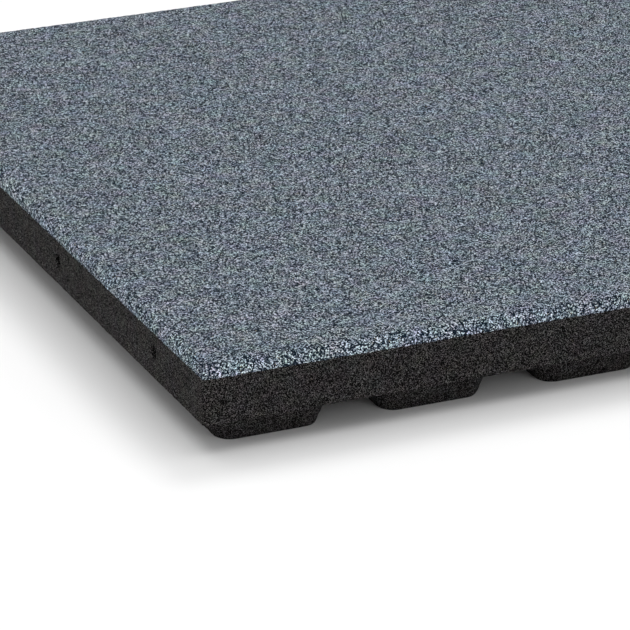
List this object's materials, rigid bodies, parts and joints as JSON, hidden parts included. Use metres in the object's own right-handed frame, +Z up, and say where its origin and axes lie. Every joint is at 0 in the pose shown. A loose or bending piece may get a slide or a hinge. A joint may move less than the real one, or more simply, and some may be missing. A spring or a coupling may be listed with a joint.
{
  "type": "playground safety tile",
  "caption": "Square impact-absorbing rubber playground tile: blue-grey granulate wear layer with rounded edges on a black granulate slab with moulded feet and dowel sockets.",
  "frame": {"origin": "on the ground under the middle of the tile, at the level of the feet's soles", "axes": "+Z up through the tile's thickness to the walking face; X and Y along the sides; the sides facing -X and +X hold the dowel sockets"},
  "size_m": [1, 1, 0.09],
  "materials": {
    "base_mat": "matte black bonded rubber granulate, fine open grain",
    "wear_layer": "matte blue-grey bonded granulate with dark gaps between the grains"
  },
  "bodies": {
    "root": {"base_mat": "base_mat", "wear_layer": "wear_layer"}
  },
  "joints": []
}
